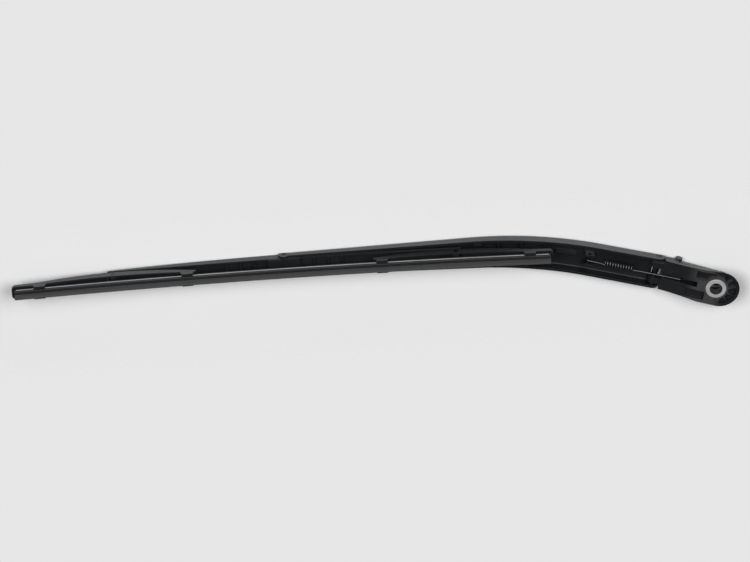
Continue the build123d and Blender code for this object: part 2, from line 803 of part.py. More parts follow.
def secondary_yoke(overhang):
    """A secondary yoke in its own frame: claw line along X, blade end at -X, flexors at zero height."""
    reach = (claw_outer - claw_inner) / 2
    outer_end = -reach - overhang - side_play - yoke_end_wall
    inner_end = reach + yoke_inner_overhang
    rim = -flexor_thickness - claw_play
    side = rim - yoke_web / 2
    back = ThreePointArc((-reach, -yoke_back_claw), (0, -yoke_back_middle), (reach, -yoke_back_claw))
    arch = ThreePointArc((reach, side), (0, yoke_side_height - yoke_back_middle), (-reach, side))
    near_end = Polyline(
        (reach, -yoke_back_claw), (inner_end, -yoke_back_end), (inner_end, side), (reach, side)
    )
    far_end = Polyline(
        (-reach, side),
        (-reach, rim),
        (outer_end, rim),
        (outer_end, -yoke_back_end),
        (-reach, -yoke_back_claw),
    )
    wall = extrude(Plane.XZ * make_face(back + near_end + arch + far_end), yoke_half, both=True)
    end_face = wall.faces().sort_by(Axis.X)[0]
    wall = fillet(end_face.edges().filter_by(Axis.Z), yoke_end_radius)
    hollow_back = ThreePointArc(
        (-reach, yoke_web - yoke_back_claw),
        (0, yoke_web - yoke_back_middle),
        (reach, yoke_web - yoke_back_claw),
    )
    hollow_line = Polyline(
        (reach, yoke_web - yoke_back_claw),
        (2 * reach, yoke_web - yoke_back_end),
        (2 * reach, yoke_back_middle),
        (outer_end + yoke_end_wall, yoke_back_middle),
        (outer_end + yoke_end_wall, yoke_web - yoke_back_end),
        (-reach, yoke_web - yoke_back_claw),
    )
    hollow = extrude(Plane.XZ * make_face(hollow_back + hollow_line), yoke_half - yoke_wall, both=True)
    window_half = yoke_half - yoke_wall
    yoke = wall - hollow
    window_end = -tongue_tip_radius - yoke_window_play
    yoke -= block(window_end, yoke_window, -window_half, window_half, -2 * yoke_back_middle, 0)
    yoke += claw(-reach)
    yoke += claw(reach)
    return yoke - rod(yoke_pin_radius + press_play, 0, -yoke_pivot_depth, -yoke_half, yoke_half)


def outer_place():
    """Place of the outer yoke's own frame."""
    middle, rise, slope = yoke_chord()
    place = Pos(blade_centre - middle, blade_side, flexor_level + rise)
    return place, degrees(slope)


def to_inner(shape):
    """Mirror a piece of the blade's outer half to its inner half."""
    return mirror(shape, about=Plane(origin=(blade_centre, 0, 0), z_dir=(1, 0, 0)))


def outer_yoke(overhang):
    place, slope = outer_place()
    return place * Rot(0, slope, 0) * secondary_yoke(overhang)


def outer_yoke_pin():
    offset, level = yoke_pin_place()
    return rod(yoke_pin_radius, blade_centre - offset, level, blade_side - yoke_half, blade_side + yoke_half)


pieces = {
    "arm_head": arm_head(),
    "spindle_bush": spindle_bush(),
    "nut_cover": nut_cover(),
    "hinge_pin": hinge_pin(),
    "hook_pin": hook_pin(),
    "arm_channel": arm_channel(),
    "anchor_pin": anchor_pin(),
    "tension_spring": tension_spring(),
    "pivot_pin": pivot_pin(),
    "primary_yoke": primary_yoke(),
    "outer_yoke": outer_yoke(rubber_overhang),
    "inner_yoke": to_inner(outer_yoke(rubber_inner_overhang)),
    "outer_yoke_pin": outer_yoke_pin(),
    "inner_yoke_pin": to_inner(outer_yoke_pin()),
    "wiper_rubber": wiper_rubber(),
    "near_flexor": flexor(1),
    "far_flexor": flexor(-1),
}

for name, shape in pieces.items():
    export_step(shape, f"parts/{name}.step")
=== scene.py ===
"""Looks of a rear wiper arm with its bridged blade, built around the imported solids."""

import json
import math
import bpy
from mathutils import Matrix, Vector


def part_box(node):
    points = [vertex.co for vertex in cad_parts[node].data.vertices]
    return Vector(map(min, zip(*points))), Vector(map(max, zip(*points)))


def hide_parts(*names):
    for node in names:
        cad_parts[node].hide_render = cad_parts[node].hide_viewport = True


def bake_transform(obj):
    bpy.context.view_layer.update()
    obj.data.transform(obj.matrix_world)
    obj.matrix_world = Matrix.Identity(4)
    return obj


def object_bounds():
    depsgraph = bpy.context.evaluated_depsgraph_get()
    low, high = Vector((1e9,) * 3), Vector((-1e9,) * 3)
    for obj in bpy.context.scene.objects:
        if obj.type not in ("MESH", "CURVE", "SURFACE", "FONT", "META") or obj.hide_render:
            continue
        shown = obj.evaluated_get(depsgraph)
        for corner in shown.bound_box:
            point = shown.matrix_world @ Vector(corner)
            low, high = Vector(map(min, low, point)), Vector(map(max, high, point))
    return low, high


bl_info = {
    "name": "Wiper arm looks",
    "version": (1, 0, 0),
    "blender": (4, 5, 0),
    "location": "View3D > Sidebar > Wiper arm",
    "description": "Finishes, rubber, spring and stage for a rear wiper arm",
    "category": "Object",
}

import bmesh
import bpy
from mathutils import Matrix, Vector

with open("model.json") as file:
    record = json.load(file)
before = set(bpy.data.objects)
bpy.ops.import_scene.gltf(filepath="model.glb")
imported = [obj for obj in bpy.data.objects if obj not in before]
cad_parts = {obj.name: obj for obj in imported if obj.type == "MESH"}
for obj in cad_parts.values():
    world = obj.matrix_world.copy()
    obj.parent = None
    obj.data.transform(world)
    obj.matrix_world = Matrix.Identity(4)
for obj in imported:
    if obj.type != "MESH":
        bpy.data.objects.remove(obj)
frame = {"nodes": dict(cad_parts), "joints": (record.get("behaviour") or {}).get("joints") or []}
CAD_LOW, CAD_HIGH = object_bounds()
NODES = frame["nodes"]
JOINTS = {joint["name"]: joint for joint in frame["joints"]}
RUBBER_LOW, RUBBER_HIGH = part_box("wiper_rubber")
MM = 0.001

# The part of a noise's range that tones and roughness follow, and the noise's own roughness
NOISE_LOW = 0.3
NOISE_HIGH = 0.7
NOISE_ROUGHNESS = 0.55

# Fine relief and rounded edges in the finishes
GRAIN_DEPTH = 0.02 * MM
BEVEL_SAMPLES = 4
MOULDED_ROUNDING = 0.25 * MM
STEEL_ROUNDING = 0.1 * MM
BUSH_ROUNDING = 0.12 * MM

# Where the mouldings get their painted reflection on the outer sides, their rubbed edges and their painted
# sheen on the head's face, and where the painted shade in the bush's bore ends
REFLECTION_FROM = 1 * MM
REFLECTION_FULLY = 4 * MM
RUBBED_WIDTH = 0.8 * MM
FLAT_LEVEL = 0.98
CORNER_LEVEL = 0.86
FACE_SHEEN_FROM = -2.6 * MM
FACE_SHEEN_FULLY = -0.8 * MM
PAD_RADIUS = 9.5 * MM
PAD_FADE_RADIUS = 12.5 * MM
ARM_SIDE_FADE = 3 * MM
BORE_SHADE_FADE = 0.3 * MM

# One side of the rubber's section in millimetres, beside the blade's middle and above the strips' middle
RUBBER_SIDE = {
    "backing": ((3.0, -1.9), (3.0, -0.5)),
    "slot": ((1.0, -0.5), (1.0, 0.5)),
    "flange": ((3.0, 0.5), (3.0, 2.7), (2.4, 2.75)),
    "neck": ((2.0, 1.2), (0.6, 1.2), (0.6, 3.5)),
    "shoulder": ((1.75, 4.15), (1.75, 4.75)),
    "lip": ((1.2, 5.4), (0.62, 7.4), (0.45, 9.0)),
}
RUBBER_ROUNDING = 0.25 * MM
# Where the rubber's groove gets its painted shade
GROOVE_SIDE = 2.3 * MM
GROOVE_LOW = 1.0 * MM
GROOVE_HIGH = 3.9 * MM
# Heights over which the painted highlight towards the lip fades in
LIP_HIGHLIGHT_FROM = 4 * MM
LIP_HIGHLIGHT_FULLY = 9 * MM

# Section of a steel strip, from the blade's middle plane and from the strip's middle height
STRIP_INNER = 1.05 * MM
STRIP_OUTER = 3.22 * MM
STRIP_HALF = 0.26 * MM
STRIP_ROUNDING = 0.2 * MM

# The two halves of the blade with their directions along X
HALVES = {"outer": -1, "inner": 1}

# The largest share of a side that a rounded corner takes, and the angle from which an edge is sharp
LARGEST_CUT = 0.4
SHARP_ANGLE = math.radians(40)

# The spring along the line from its anchor pin to its hook pin, its end loops and its wire
COIL_END = 33.0 * MM
COIL_LEAD = 3.2 * MM
PIN_RADIUS = 1.3 * MM
LOOP_GAP = 0.1 * MM
LOOP_DEGREES = range(-150, 91, 20)
STEPS_PER_TURN = 20
WIRE_SIDES = 12

# Floor, lights and camera, with the lights' offsets from the point that they face
FLOOR_REACH = 6.0
FLOOR_GAP = 0.05 * MM
FLOOR_FADE_FROM = 8 * MM
FLOOR_FADE_TO = 34 * MM
LIT_POINT = Vector((-0.25, 0.03, 0.0))
KEY_OFFSETS = {"left_key": Vector((-2.6, 3.0, 5.4)), "right_key": Vector((2.6, 3.0, 5.4))}
KEY_SIZE = 3.4
CAMERA_TARGET = Vector((-0.2547, 0.0270, 0.0))
SENSOR_WIDTH = 36.0
CLIP_END = 50.0


class ArmSizes(bpy.types.PropertyGroup):
    """Sizes of the pieces that the scene adds."""

    blade_middle: bpy.props.FloatProperty(
        name="Blade middle",
        description="Position of the blade's middle along X",
        default=JOINTS["blade_pivot"]["pos_m"][0],
        unit="LENGTH",
    )
    arm_turn: bpy.props.FloatProperty(
        name="Arm turn",
        description="Angle in plan between the head and the blade",
        default=math.radians(16.5),
        subtype="ANGLE",
    )
    blade_side: bpy.props.FloatProperty(
        name="Blade side",
        description="Position of the blade's middle plane along Y",
        default=(RUBBER_LOW.y + RUBBER_HIGH.y) / 2,
        unit="LENGTH",
    )
    strip_level: bpy.props.FloatProperty(
        name="Strip level",
        description="Height of the steel strips at the blade's middle",
        default=-0.5 * MM,
        unit="LENGTH",
    )
    blade_curve: bpy.props.FloatProperty(
        name="Blade curve",
        description="Radius of the unloaded blade's curve",
        default=3800 * MM,
        unit="LENGTH",
    )
    outer_length: bpy.props.FloatProperty(
        name="Outer length",
        description="Length of the rubber from the blade's middle to its outer end",
        default=203 * MM,
        unit="LENGTH",
    )
    inner_length: bpy.props.FloatProperty(
        name="Inner length",
        description="Length of the rubber from the blade's middle to its inner end",
        default=199.5 * MM,
        unit="LENGTH",
    )
    strip_short: bpy.props.FloatProperty(
        name="Strip shortfall",
        description="Distance from the rubber's end to a steel strip's end",
        default=1.5 * MM,
        unit="LENGTH",
    )
    inner_claw: bpy.props.FloatProperty(
        name="Inner claw",
        description="Distance of a yoke's inner claw from the blade's middle",
        default=73 * MM,
        unit="LENGTH",
    )
    bore_radius: bpy.props.FloatProperty(
        name="Bore radius",
        description="Radius of the spindle bore",
        default=4.7 * MM,
        unit="LENGTH",
    )
    stations: bpy.props.IntProperty(
        name="Stations",
        description="Cross sections along one half of the blade",
        default=90,
        min=8,
    )
    wire_radius: bpy.props.FloatProperty(
        name="Spring wire radius",
        description="Radius of the tension spring's wire",
        default=0.46 * MM,
        unit="LENGTH",
    )
    coil_radius: bpy.props.FloatProperty(
        name="Spring coil radius",
        description="Radius of the tension spring's coil at the middle of the wire",
        default=2.9 * MM,
        unit="LENGTH",
    )
    coil_turns: bpy.props.IntProperty(
        name="Spring turns",
        description="Number of turns of the tension spring",
        default=10,
        min=3,
    )
    coil_pitch: bpy.props.FloatProperty(
        name="Spring pitch",
        description="Distance between two turns of the tension spring",
        default=2.06 * MM,
        unit="LENGTH",
    )


class ArmFinish(bpy.types.PropertyGroup):
    """Colours of the finishes."""

    arm_black: bpy.props.FloatVectorProperty(
        name="Arm black",
        description="Colour of the arm, the head and the nut cover",
        subtype="COLOR",
        size=4,
        default=(0.0055, 0.0068, 0.0078, 1.0),
    )
    yoke_black: bpy.props.FloatVectorProperty(
        name="Yoke black",
        description="Colour of the three yokes",
        subtype="COLOR",
        size=4,
        default=(0.0070, 0.0082, 0.0092, 1.0),
    )
    # Painted reflection: a lighter colour on the outer sides that stands in for the bright floor they
    # reflect
    side_reflection: bpy.props.FloatVectorProperty(
        name="Greyed black",
        description="Colour of the outer sides, greyed by weather",
        subtype="COLOR",
        size=4,
        default=(0.0560, 0.0620, 0.0660, 1.0),
    )
    rubbed: bpy.props.FloatVectorProperty(
        name="Rubbed black",
        description="Colour of the rubbed edges of the mouldings",
        subtype="COLOR",
        size=4,
        default=(0.0140, 0.0155, 0.0165, 1.0),
    )
    # Painted sheen: a lighter colour on the head's upper face that stands in for light on it
    painted_face_sheen: bpy.props.FloatVectorProperty(
        name="Scuffed black",
        description="Colour of the head's scuffed face",
        subtype="COLOR",
        size=4,
        default=(0.0435, 0.0415, 0.0432, 1.0),
    )
    rubber_black: bpy.props.FloatVectorProperty(
        name="Rubber black",
        description="Colour of the wiper rubber",
        subtype="COLOR",
        size=4,
        default=(0.0150, 0.0153, 0.0150, 1.0),
    )
    strip_steel: bpy.props.FloatVectorProperty(
        name="Strip steel",
        description="Colour of the two steel strips",
        subtype="COLOR",
        size=4,
        default=(0.38, 0.39, 0.40, 1.0),
    )
    spring_steel: bpy.props.FloatVectorProperty(
        name="Spring steel",
        description="Colour of the plated spring wire",
        subtype="COLOR",
        size=4,
        default=(0.13, 0.135, 0.145, 1.0),
    )
    bush_metal: bpy.props.FloatVectorProperty(
        name="Bush metal",
        description="Colour of the turned spindle bush",
        subtype="COLOR",
        size=4,
        default=(0.44, 0.44, 0.45, 1.0),
    )
    pin_steel: bpy.props.FloatVectorProperty(
        name="Pin steel",
        description="Colour of the pins",
        subtype="COLOR",
        size=4,
        default=(0.055, 0.056, 0.060, 1.0),
    )


class StageSettings(bpy.types.PropertyGroup):
    """Floor, lights and camera."""

    floor_colour: bpy.props.FloatVectorProperty(
        name="Floor colour",
        description="Colour of the plain floor",
        subtype="COLOR",
        size=4,
        default=(0.80, 0.80, 0.80, 1.0),
    )
    key_power: bpy.props.FloatProperty(
        name="Key power",
        description="Power of each of the two large soft lights",
        default=272.0,
        unit="POWER",
    )
    sky_strength: bpy.props.FloatProperty(
        name="Sky strength",
        description="Strength of the even light all round",
        default=0.09,
    )
    backdrop_strength: bpy.props.FloatProperty(
        name="Backdrop strength",
        description="Brightness of the plain backdrop, which is the floor's",
        default=0.795,
    )
    camera_tilt: bpy.props.FloatProperty(
        name="Camera tilt",
        description="Angle of the camera from straight above",
        default=math.radians(30.0),
        subtype="ANGLE",
    )
    camera_roll: bpy.props.FloatProperty(
        name="Camera roll",
        description="Turn of the camera about its own axis",
        default=math.radians(3.9),
        subtype="ANGLE",
    )
    camera_distance: bpy.props.FloatProperty(
        name="Camera distance",
        description="Distance of the camera from the object",
        default=8.0,
        unit="LENGTH",
    )
    view_width: bpy.props.FloatProperty(
        name="View width",
        description="Width that the picture shows at the object",
        default=561.4 * MM,
        unit="LENGTH",
    )


def sizes():
    """The scene's sizes."""
    return bpy.context.scene.wiper_arm_sizes


def colours():
    """The scene's colours."""
    return bpy.context.scene.wiper_arm_finish


def stage_settings():
    """The scene's settings for the stage."""
    return bpy.context.scene.wiper_arm_stage


def shade(colour, factor):
    """A colour made lighter or darker."""
    return (colour[0] * factor, colour[1] * factor, colour[2] * factor, 1.0)


class Finish:
    """A procedural material under construction: its tree, its shader and short ways to add nodes."""

    def __init__(self, name):
        self.material = bpy.data.materials.new(name)
        self.material.use_nodes = True
        self.tree = self.material.node_tree
        self.shader = self.tree.nodes["Principled BSDF"]
        self.coordinates = self.tree.nodes.new("ShaderNodeTexCoord")
        self.place = self.coordinates.outputs["Object"]

    def node(self, kind, **values):
        """A new node with some of its settings."""
        made = self.tree.nodes.new(kind)
        for key, value in values.items():
            setattr(made, key, value)
        return made

    def link(self, source, target):
        """Join an output to an input."""
        self.tree.links.new(source, target)

    def set(self, **sockets):
        """Give inputs of the shader fixed values."""
        for name, value in sockets.items():
            self.shader.inputs[name].default_value = value

    def drive(self, socket, source):
        """Give an input of the shader an output's value."""
        self.link(source, self.shader.inputs[socket])

    def stretched(self, scale):
        """Places on the object with a scale along each axis."""
        mapping = self.node("ShaderNodeMapping")
        mapping.inputs["Scale"].default_value = scale
        self.link(self.place, mapping.inputs["Vector"])
        return mapping.outputs["Vector"]

    def noise(self, scale, detail, stretch=(1, 1, 1)):
        """A cloudy pattern about one half."""
        noise = self.node("ShaderNodeTexNoise")
        noise.inputs["Scale"].default_value = scale
        noise.inputs["Detail"].default_value = detail
        noise.inputs["Roughness"].default_value = NOISE_ROUGHNESS
        self.link(self.stretched(stretch), noise.inputs["Vector"])
        return noise.outputs["Fac"]

    def attribute(self, name):
        """A value that the mesh holds for each of its points."""
        return self.node("ShaderNodeAttribute", attribute_name=name).outputs["Fac"]

    def combine(self, operation, first, second):
        """A value worked out from two outputs."""
        made = self.node("ShaderNodeMath", operation=operation)
        self.link(first, made.inputs[0])
        self.link(second, made.inputs[1])
        return made.outputs["Value"]

    def span(self, source, low, high, start=NOISE_LOW, end=NOISE_HIGH):
        """A value that goes from low to high while its source goes from start to end."""
        span = self.node("ShaderNodeMapRange")
        span.inputs["From Min"].default_value = start
        span.inputs["From Max"].default_value = end
        span.inputs["To Min"].default_value = low
        span.inputs["To Max"].default_value = high
        self.link(source, span.inputs["Value"])
        return span.outputs["Result"]

    def tones(self, source, colour, dark, light):
        """A colour that follows a noise from a dark to a light shade of itself."""
        ramp = self.node("ShaderNodeValToRGB")
        first, last = ramp.color_ramp.elements
        first.position = NOISE_LOW
        last.position = NOISE_HIGH
        first.color = shade(colour, dark)
        last.color = shade(colour, light)
        self.link(source, ramp.inputs["Fac"])
        return ramp.outputs["Color"]

    def mix(self, factor, first, second):
        """A colour between two others."""
        mix = self.node("ShaderNodeMix", data_type="RGBA")
        self.link(factor, mix.inputs["Factor"])
        self.link(first, mix.inputs["A"])
        self.link(second, mix.inputs["B"])
        return mix.outputs["Result"]

    def apart(self, direction, offset=0):
        """Distance of a point from a plane with a direction across it."""
        across = self.node("ShaderNodeVectorMath", operation="DOT_PRODUCT")
        across.inputs[1].default_value = direction
        self.link(self.place, across.inputs[0])
        moved = self.node("ShaderNodeMath", operation="SUBTRACT")
        moved.inputs[1].default_value = offset
        self.link(across.outputs["Value"], moved.inputs[0])
        return moved.outputs["Value"]

    def from_bore(self):
        """Distance from the spindle bore's axis."""
        length = self.node("ShaderNodeVectorMath", operation="LENGTH")
        self.link(self.stretched((1, 1, 0)), length.inputs[0])
        return length.outputs["Value"]

    def outside_box(self, low, high):
        """Distance outside a box's plan, along X or along Y."""
        moved = self.node("ShaderNodeVectorMath", operation="SUBTRACT")
        moved.inputs[1].default_value = (low + high) / 2
        self.link(self.place, moved.inputs[0])
        apart = self.node("ShaderNodeVectorMath", operation="ABSOLUTE")
        self.link(moved.outputs["Vector"], apart.inputs[0])
        beyond = self.node("ShaderNodeVectorMath", operation="SUBTRACT")
        beyond.inputs[1].default_value = (high - low) / 2
        self.link(apart.outputs["Vector"], beyond.inputs[0])
        sides = self.node("ShaderNodeSeparateXYZ")
        self.link(beyond.outputs["Vector"], sides.inputs[0])
        return self.combine("MAXIMUM", sides.outputs["X"], sides.outputs["Y"])

    def outer_sides(self):
        """One on walls that face away from the arm's middle line, nought on floors and inner walls: where
        the painted reflection goes.
        """
        turn = -sizes().arm_turn
        beside_head = self.apart((-math.sin(turn), math.cos(turn), 0))
        beside_blade = self.apart((0, 1, 0), sizes().blade_side)
        beside = self.combine("MAXIMUM", beside_head, beside_blade)
        facing = self.node("ShaderNodeSeparateXYZ")
        self.link(self.coordinates.outputs["Normal"], facing.inputs[0])
        outward = self.combine("MULTIPLY", beside, facing.outputs["Y"])
        return self.span(outward, 0.0, 1.0, REFLECTION_FROM, REFLECTION_FULLY)

    def face_sheen_mask(self):
        """One on the head's upper face round the bore and on the arm's side of it, nought elsewhere: where
        the painted sheen goes.
        """
        upper = self.span(self.apart((0, 0, 1)), 0.0, 1.0, FACE_SHEEN_FROM, FACE_SHEEN_FULLY)
        pad = self.span(self.from_bore(), 1.0, 0.0, PAD_RADIUS, PAD_FADE_RADIUS)
        arm_side = self.span(self.apart((1, 0, 0)), 1.0, 0.0, -ARM_SIDE_FADE, ARM_SIDE_FADE)
        return self.combine("MULTIPLY", upper, self.combine("MAXIMUM", pad, arm_side))

    def soft_edges(self, radius):
        """The surface's direction with its edges rounded."""
        bevel = self.node("ShaderNodeBevel")
        bevel.samples = BEVEL_SAMPLES
        bevel.inputs["Radius"].default_value = radius
        return bevel.outputs["Normal"]

    def edges(self, radius):
        """Nought on flats and rising to one on corners, within a radius of them."""
        geometry = self.node("ShaderNodeNewGeometry")
        level = self.node("ShaderNodeVectorMath", operation="DOT_PRODUCT")
        self.link(geometry.outputs["Normal"], level.inputs[0])
        self.link(self.soft_edges(radius), level.inputs[1])
        return self.span(level.outputs["Value"], 0.0, 1.0, FLAT_LEVEL, CORNER_LEVEL)

    def bump(self, height, strength, below=None):
        """The surface's direction with fine relief, perhaps on top of another such direction."""
        bump = self.node("ShaderNodeBump")
        bump.inputs["Strength"].default_value = strength
        bump.inputs["Distance"].default_value = GRAIN_DEPTH
        self.link(height, bump.inputs["Height"])
        if below is not None:
            self.link(below, bump.inputs["Normal"])
        return bump.outputs["Normal"]


def moulded_black(name, colour, roughness, reflection_level, painted_face_sheen=False):
    """Satin black moulding: grain, flow marks, dust, a painted reflection on the outer sides and perhaps a
    painted sheen on the head's face.
    """
    made = Finish(name)
    flow = made.noise(scale=26, detail=4, stretch=(0.25, 1, 1))
    grain = made.noise(scale=2600, detail=2)
    dust = made.noise(scale=140, detail=5)
    body = made.tones(flow, colour, dark=0.85, light=1.2)
    dusty = made.tones(grain, colour, dark=1.5, light=2.1)
    skin = made.mix(made.span(dust, low=0.0, high=0.35, start=0.5, end=0.78), body, dusty)
    # Painted reflection: the outer sides get a lighter colour, scaled by the finish's reflection level
    side_reflection = made.tones(flow, colours().side_reflection, dark=0.85 * reflection_level, light=1.15 * reflection_level)
    skin = made.mix(made.outer_sides(), skin, side_reflection)
    rubbed = made.tones(grain, colours().rubbed, dark=0.8, light=1.2)
    skin = made.mix(made.edges(RUBBED_WIDTH), skin, rubbed)
    if painted_face_sheen:
        # Painted sheen on the head's upper face
        face_sheen_finish = made.tones(dust, colours().painted_face_sheen, dark=0.85, light=1.15)
        skin = made.mix(made.face_sheen_mask(), skin, face_sheen_finish)
    made.drive("Base Color", skin)
    made.drive("Roughness", made.span(dust, low=roughness, high=roughness + 0.12))
    made.set(IOR=1.42)
    made.drive("Normal", made.bump(grain, strength=0.25, below=made.soft_edges(MOULDED_ROUNDING)))
    return made.material


def bare_metal(name, colour, roughness, stretch=(1, 1, 1), bare=1.0):
    """Worked steel: fine drawn lines, cloudy tones, and a dull skin where it isn't all bare."""
    made = Finish(name)
    lines = made.noise(scale=900, detail=3, stretch=stretch)
    cloud = made.noise(scale=60, detail=4)
    made.drive("Base Color", made.tones(cloud, colour, dark=0.82, light=1.12))
    made.drive("Roughness", made.span(lines, low=roughness - 0.06, high=roughness + 0.1))
    made.set(Metallic=bare)
    made.drive("Normal", made.bump(lines, strength=0.15, below=made.soft_edges(STEEL_ROUNDING)))
    return made.material


def turned_metal(name, colour, bore):
    """Turned ring: fine tool rings about the bore, a dull bright skin and painted shade inside the bore.
    """
    made = Finish(name)
    rings = made.node("ShaderNodeTexWave", wave_type="RINGS", rings_direction="Z")
    rings.inputs["Scale"].default_value = 900
    rings.inputs["Distortion"].default_value = 0.6
    made.link(made.place, rings.inputs["Vector"])
    cloud = made.noise(scale=240, detail=4)
    face = made.tones(cloud, colour, dark=0.85, light=1.1)
    # Painted shade inside the bore
    bore_shade = made.tones(cloud, colour, dark=0.12, light=0.25)
    inside = made.span(made.from_bore(), 1.0, 0.0, start=bore, end=bore + BORE_SHADE_FADE)
    made.drive("Base Color", made.mix(inside, face, bore_shade))
    made.drive("Roughness", made.span(cloud, low=0.45, high=0.6))
    made.set(Metallic=0.3)
    relief = made.bump(rings.outputs["Fac"], strength=0.2, below=made.soft_edges(BUSH_ROUNDING))
    made.drive("Normal", relief)
    return made.material


def wiper_black(name, colour):
    """Matt rubber streaked along the blade, paler where dry, with a painted highlight towards the lip and
    painted shade in its grooves.
    """
    made = Finish(name)
    streak = made.noise(scale=420, detail=4, stretch=(0.03, 1, 1))
    bloom = made.noise(scale=70, detail=5, stretch=(0.4, 1, 1))
    grain = made.noise(scale=3200, detail=2)
    body = made.tones(streak, colour, dark=0.8, light=1.2)
    dry = made.tones(grain, colour, dark=1.5, light=1.9)
    skin = made.mix(made.span(bloom, low=0.0, high=0.55, start=0.45, end=0.75), body, dry)
    # Painted highlight: the rubber gets lighter towards the lip's edge
    lip_highlight = made.tones(streak, colour, dark=2.0, light=2.8)
    towards_lip = made.span(made.attribute("height"), 0.0, 1.0, LIP_HIGHLIGHT_FROM, LIP_HIGHLIGHT_FULLY)
    skin = made.mix(towards_lip, skin, lip_highlight)
    # Painted shade in the groove between flange and shoulder
    painted_shade = made.tones(streak, colour, dark=0.15, light=0.3)
    made.drive("Base Color", made.mix(made.attribute("grooved"), skin, painted_shade))
    made.drive("Roughness", made.span(bloom, low=0.5, high=0.72))
    made.drive("Normal", made.bump(grain, strength=0.3))
    return made.material


def floor_finish(colour):
    """Pale matt floor, clear from below and away from the part, where folded poses go below it."""
    made = Finish("floor_pale")
    cloud = made.noise(scale=3, detail=2)
    made.drive("Base Color", made.tones(cloud, colour, dark=0.99, light=1.01))
    made.set(Roughness=0.9)
    below = made.node("ShaderNodeNewGeometry").outputs["Backfacing"]
    seen = made.node("ShaderNodeLightPath").outputs["Is Camera Ray"]
    away = made.span(made.outside_box(CAD_LOW, CAD_HIGH), 0.0, 1.0, FLOOR_FADE_FROM, FLOOR_FADE_TO)
    hidden = made.combine("MAXIMUM", below, made.combine("MULTIPLY", seen, away))
    clear = made.node("ShaderNodeBsdfTransparent")
    sided = made.node("ShaderNodeMixShader")
    made.link(hidden, sided.inputs["Fac"])
    made.link(made.shader.outputs["BSDF"], sided.inputs[1])
    made.link(clear.outputs["BSDF"], sided.inputs[2])
    made.link(sided.outputs["Shader"], made.tree.nodes["Material Output"].inputs["Surface"])
    return made.material


def dress(names, material):
    """Give CAD nodes a finish."""
    for name in names:
        mesh = NODES[name].data
        mesh.materials.clear()
        mesh.materials.append(material)


def new_piece(name, mesh, material):
    """An object at the origin, with its place in its mesh."""
    mesh.name = name
    mesh.materials.clear()
    mesh.materials.append(material)
    piece = bpy.data.objects.new(name, mesh)
    bpy.context.scene.collection.objects.link(piece)
    return piece


def on_blade(along, side, height):
    """A point of the curved blade from its place along, beside and above the steel strips."""
    size = sizes()
    turn = along / size.blade_curve
    arm = size.blade_curve - height
    level = size.strip_level + size.blade_curve - arm * math.cos(turn)
    return Vector((size.blade_middle + arm * math.sin(turn), size.blade_side + side, level))


def in_groove(side, height):
    """Whether a point of the rubber's section lies in the groove between flange and shoulder."""
    return abs(side) < GROOVE_SIDE and GROOVE_LOW < height < GROOVE_HIGH


def blade_strip(section, short, direction):
    """Closed strip with a section along one half of the blade, up to a distance from the rubber's end."""
    count = sizes().stations
    length = (sizes().outer_length if direction < 0 else sizes().inner_length) - short
    shape = bmesh.new()
    rings = []
    for step in range(count + 1):
        along = direction * length * step / count
        rings.append([shape.verts.new(on_blade(along, side, height)) for side, height in section])
    for first, second in zip(rings, rings[1:]):
        for index, vertex in enumerate(first):
            following = (index + 1) % len(section)
            shape.faces.new((vertex, first[following], second[following], second[index]))
    shape.faces.new(rings[0])
    shape.faces.new(list(reversed(rings[-1])))
    bmesh.ops.recalc_face_normals(shape, faces=shape.faces)
    mesh = bpy.data.meshes.new("strip")
    shape.to_mesh(mesh)
    shape.free()
    heights = [height for _, height in section] * len(rings)
    mesh.attributes.new("height", "FLOAT", "POINT").data.foreach_set("value", heights)
    # Mask for the painted shade in the groove
    grooved = [float(in_groove(side, height)) for side, height in section] * len(rings)
    mesh.attributes.new("grooved", "FLOAT", "POINT").data.foreach_set("value", grooved)
    return mesh


def rounded(corners, radius, steps=3):
    """A closed outline with each corner cut to a short arc, which keeps inside the outline."""
    outline = []
    count = len(corners)
    for index, corner in enumerate(corners):
        here = Vector(corner)
        before = Vector(corners[index - 1]) - here
        after = Vector(corners[(index + 1) % count]) - here
        cut = min(radius, before.length * LARGEST_CUT, after.length * LARGEST_CUT)
        start = here + before.normalized() * cut
        end = here + after.normalized() * cut
        for step in range(steps + 1):
            share = step / steps
            point = start * (1 - share) ** 2 + here * 2 * share * (1 - share) + end * share ** 2
            outline.append((point.x, point.y))
    return outline


def rubber_section():
    """Section of the rubber, up one side and down the other."""
    right = [corner for stretch in RUBBER_SIDE.values() for corner in stretch]
    left = [(-side, height) for side, height in reversed(right)]
    corners = [(side * MM, height * MM) for side, height in right + left]
    return rounded(corners, RUBBER_ROUNDING)


def strip_section(side):
    """Section of one steel strip with its rolled edges."""
    inner = side * STRIP_INNER
    outer = side * STRIP_OUTER
    corners = [(inner, -STRIP_HALF), (outer, -STRIP_HALF), (outer, STRIP_HALF), (inner, STRIP_HALF)]
    return rounded(corners, STRIP_ROUNDING)


def smooth_by_angle(mesh, angle):
    """Smooth shading with edges sharper than an angle kept sharp."""
    shape = bmesh.new()
    shape.from_mesh(mesh)
    for face in shape.faces:
        face.smooth = True
    for edge in shape.edges:
        edge.smooth = edge.calc_face_angle(0.0) < angle
    shape.to_mesh(mesh)
    shape.free()


def bend_with_yoke(piece):
    """Bake the placement of a half of the blade into its mesh."""
    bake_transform(piece)


def pin_centre(name):
    """The middle of a pin."""
    low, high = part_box(name)
    return (low + high) / 2


